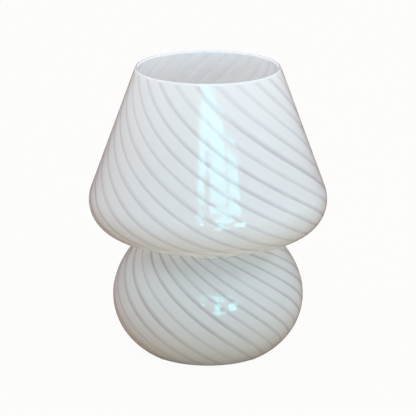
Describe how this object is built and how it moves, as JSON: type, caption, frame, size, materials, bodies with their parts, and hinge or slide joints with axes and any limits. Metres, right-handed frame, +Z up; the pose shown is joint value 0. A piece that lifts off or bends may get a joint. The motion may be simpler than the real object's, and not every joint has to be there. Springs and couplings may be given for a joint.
{
  "type": "table lamp",
  "caption": "Mushroom table lamp blown in one piece of swirled opal glass, open at the top, with a lampholder and bulb seated in its neck.",
  "frame": {"origin": "on the table, on the lamp's vertical axis", "axes": "+Z up along the lamp's axis; the cord's inlet is at the back, towards +Y"},
  "size_m": [0.1898, 0.1898, 0.2312],
  "materials": {
    "opal_glass": "glossy blown opal",
    "clear_pad": "soft clear",
    "grommet_rubber": "smooth",
    "zinc_steel": "zinc plated",
    "spring_steel": "bright spring strip",
    "silicone": "smooth",
    "white_plastic": "moulded",
    "porcelain": "glazed",
    "brass": "pressed",
    "bulb_diffuser": "satin opal",
    "bulb_plastic": "moulded",
    "nickel": "nickel plated",
    "black_insulator": "smooth",
    "led_board_white": "solder mask",
    "led_phosphor": "phosphor",
    "circuit_board": "solder mask",
    "capacitor_sleeve": "shrunk sleeve",
    "copper": "enamelled wire"
  },
  "bodies": {
    "lamp": {"glass_body": "opal_glass", "cord_grommet": "grommet_rubber", "foot_pads": "clear_pad"},
    "fixture": {"spider_plate": "zinc_steel", "spring_arm_1": "spring_steel", "spring_arm_2": "spring_steel", "spring_arm_3": "spring_steel", "arm_sleeve_1": "silicone", "arm_sleeve_2": "silicone", "arm_sleeve_3": "silicone", "arm_rivets": "zinc_steel", "clamp_ring_upper": "white_plastic", "clamp_ring_lower": "white_plastic", "holder_skirt": "white_plastic", "holder_dome": "white_plastic", "holder_insert": "porcelain", "screw_shell": "brass", "shell_rivets": "brass", "centre_contact": "brass", "side_contact": "brass", "terminal_screws": "zinc_steel"},
    "bulb_tip": {"bulb_insulator": "black_insulator", "bulb_contact": "nickel"},
    "bulb": {"bulb_cap": "nickel", "bulb_housing": "bulb_plastic", "bulb_globe": "bulb_diffuser", "led_board": "led_board_white", "led_chips": "led_phosphor", "driver_board": "circuit_board", "driver_capacitor": "capacitor_sleeve", "driver_coil": "copper", "driver_bridge": "black_insulator"}
  },
  "joints": [
    {"name": "fixture_lift", "type": "slide", "parent": "lamp", "child": "fixture", "axis": [0, 0, 1], "range_m": [0, 0.18]},
    {"name": "bulb_lift", "type": "slide", "parent": "fixture", "child": "bulb_tip", "axis": [0, 0, 1], "range_m": [0, 0.01453]},
    {"name": "bulb_turn", "type": "hinge", "parent": "bulb_tip", "child": "bulb", "pos_m": [0, 0, 0.1], "axis": [0, 0, 1], "range_deg": [0, 1440]}
  ],
  "couplings": [
    {"joint": "bulb_lift", "follows": "bulb_turn", "m_per_rad": 0.00057757}
  ]
}
